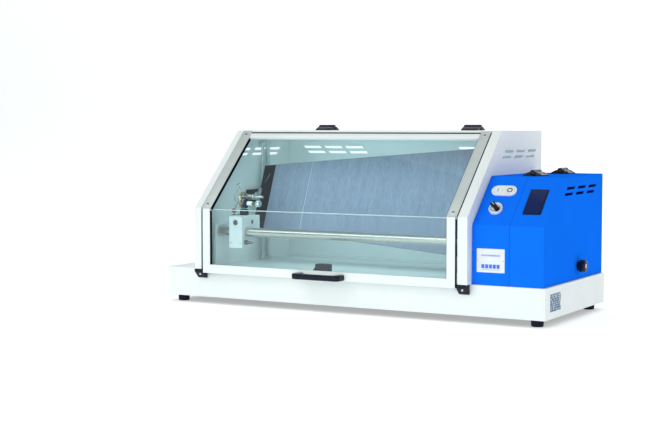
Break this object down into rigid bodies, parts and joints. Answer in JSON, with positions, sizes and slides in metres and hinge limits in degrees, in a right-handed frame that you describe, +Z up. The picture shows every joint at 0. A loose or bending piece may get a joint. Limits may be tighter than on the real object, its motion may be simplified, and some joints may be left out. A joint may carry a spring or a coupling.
{
  "type": "yarn board winder",
  "caption": "Bench machine that winds yarn onto a flat tapered board for inspection, inside a cabin with a hinged window lid, beside a blue drive housing with a hinged side cover.",
  "frame": {"origin": "under the middle of the whole object, at the bottom of its feet", "axes": "+X runs along the machine from the cabin's end to the drive's end, +Y runs from the window side to the back, +Z up"},
  "size_m": [0.9234, 0.435, 0.4008],
  "materials": {
    "white_paint": "satin powder coat",
    "blue_paint": "satin powder coat",
    "black_plastic": "satin",
    "foot_rubber": "matt",
    "belt_rubber": "matt",
    "bright_steel": "bright",
    "grey_aluminium": "satin anodised",
    "window_glass": "clear",
    "motor_black": "satin",
    "light_plastic": "satin",
    "display_glass": "gloss",
    "board_plastic": "matt",
    "wound_yarn": "wound yarn"
  },
  "bodies": {
    "root": {"base_tray": "white_paint", "base_bottom_plate": "white_paint", "front_left_foot": "foot_rubber", "front_right_foot": "foot_rubber", "rear_left_foot": "foot_rubber", "rear_right_foot": "foot_rubber", "cabin_left_side": "white_paint", "cabin_right_side": "white_paint", "cabin_back_panel": "white_paint", "cabin_rear_top": "white_paint", "left_corner_bracket": "black_plastic", "right_corner_bracket": "black_plastic", "drive_housing": "blue_paint", "lid_hinge_left_base": "black_plastic", "lid_hinge_right_base": "black_plastic", "cover_hinge_front_base": "black_plastic", "cover_hinge_rear_base": "black_plastic", "lid_switch": "black_plastic", "switch_bezel": "light_plastic", "selector_ring": "bright_steel", "drive_plate": "grey_aluminium", "board_motor": "motor_black", "drive_belt": "belt_rubber", "shaft_bearing": "bright_steel", "traverse_motor": "motor_black", "tailstock_column": "bright_steel", "guide_rod": "bright_steel", "rod_left_bracket": "white_paint", "power_inlet": "black_plastic", "name_plate": "light_plastic"},
    "lid": {"lid_lower_frame": "white_paint", "lid_top_bar": "white_paint", "lid_top_panel": "white_paint", "lid_left_rail": "grey_aluminium", "lid_right_rail": "grey_aluminium", "lid_window": "window_glass", "lid_handle": "black_plastic", "lid_hinge_left_leaf": "black_plastic", "lid_hinge_right_leaf": "black_plastic"},
    "side_cover": {"side_cover": "blue_paint", "display_panel": "display_glass", "cover_hinge_front_leaf": "black_plastic", "cover_hinge_rear_leaf": "black_plastic"},
    "cover_lock": {"cover_lock_knob": "black_plastic"},
    "start_button": {"start_button": "light_plastic"},
    "stop_button": {"stop_button": "light_plastic"},
    "selector": {"selector_lever": "black_plastic"},
    "spindle": {"board_shaft": "bright_steel", "shaft_pulley": "grey_aluminium", "board_clamp": "grey_aluminium", "yarn_board": "board_plastic", "yarn_winding": "wound_yarn"},
    "motor_pulley": {"motor_pulley": "grey_aluminium"},
    "tail_plunger": {"tail_plunger": "bright_steel"},
    "tail_clamp": {"tail_clamp": "grey_aluminium"},
    "traverse_screw": {"traverse_screw": "bright_steel"},
    "carriage": {"carriage_block": "light_plastic", "tensioner_bracket": "bright_steel"},
    "tension_disc": {"tension_disc": "black_plastic"},
    "tension_knob": {"tension_knob": "bright_steel"}
  },
  "joints": [
    {"name": "lid_hinge", "type": "hinge", "parent": "root", "child": "lid", "pos_m": [-0.044, 0.1525, 0.3948], "axis": [-1, 0, 0], "range_deg": [0, 75]},
    {"name": "cover_hinge", "type": "hinge", "parent": "root", "child": "side_cover", "pos_m": [0.371, 0.0555, 0.3019], "axis": [0, -1, 0], "range_deg": [0, 100]},
    {"name": "cover_lock_turn", "type": "hinge", "parent": "side_cover", "child": "cover_lock", "pos_m": [0.4432, 0.0335, 0.107], "axis": [1, 0, 0], "range_deg": [-90, 0]},
    {"name": "start_press", "type": "slide", "parent": "root", "child": "start_button", "axis": [0, 0.7008, -0.7134], "range_m": [0, 0.0025], "stiffness_N_per_m": 300, "springref_m": -0.002},
    {"name": "stop_press", "type": "slide", "parent": "root", "child": "stop_button", "axis": [0, 0.7008, -0.7134], "range_m": [0, 0.0025], "stiffness_N_per_m": 300, "springref_m": -0.002},
    {"name": "selector_turn", "type": "hinge", "parent": "root", "child": "selector", "pos_m": [0.3291, -0.13393, 0.22943], "axis": [0, -0.7008, 0.7134], "range_deg": [-90, 0]},
    {"name": "board_spin", "type": "hinge", "parent": "root", "child": "spindle", "pos_m": [0.2383, 0.0325, 0.233], "axis": [1, 0, 0], "continuous": true},
    {"name": "motor_pulley_spin", "type": "hinge", "parent": "root", "child": "motor_pulley", "pos_m": [0.3763, 0.0325, 0.133], "axis": [1, 0, 0], "continuous": true},
    {"name": "plunger_pull", "type": "slide", "parent": "root", "child": "tail_plunger", "axis": [1, 0, 0], "range_m": [-0.0095, 0], "stiffness_N_per_m": 600, "springref_m": 0.005},
    {"name": "tail_clamp_spin", "type": "hinge", "parent": "tail_plunger", "child": "tail_clamp", "pos_m": [-0.3467, 0.0325, 0.233], "axis": [1, 0, 0], "continuous": true},
    {"name": "carriage_slide", "type": "slide", "parent": "root", "child": "carriage", "axis": [1, 0, 0], "range_m": [-0.03, 0.47]},
    {"name": "traverse_screw_spin", "type": "hinge", "parent": "root", "child": "traverse_screw", "pos_m": [-0.0317, -0.1225, 0.1625], "axis": [1, 0, 0], "range_deg": [-540, 8460]},
    {"name": "tension_disc_spin", "type": "hinge", "parent": "carriage", "child": "tension_disc", "pos_m": [-0.2787, -0.1195, 0.2246], "axis": [1, 0, 0], "continuous": true},
    {"name": "tension_knob_turn", "type": "hinge", "parent": "carriage", "child": "tension_knob", "pos_m": [-0.2482, -0.1195, 0.2246], "axis": [1, 0, 0], "range_deg": [-180, 180]}
  ],
  "couplings": [
    {"joint": "motor_pulley_spin", "follows": "board_spin", "ratio": 2},
    {"joint": "tail_clamp_spin", "follows": "board_spin", "ratio": 1},
    {"joint": "traverse_screw_spin", "follows": "carriage_slide", "rad_per_m": 314.16}
  ]
}
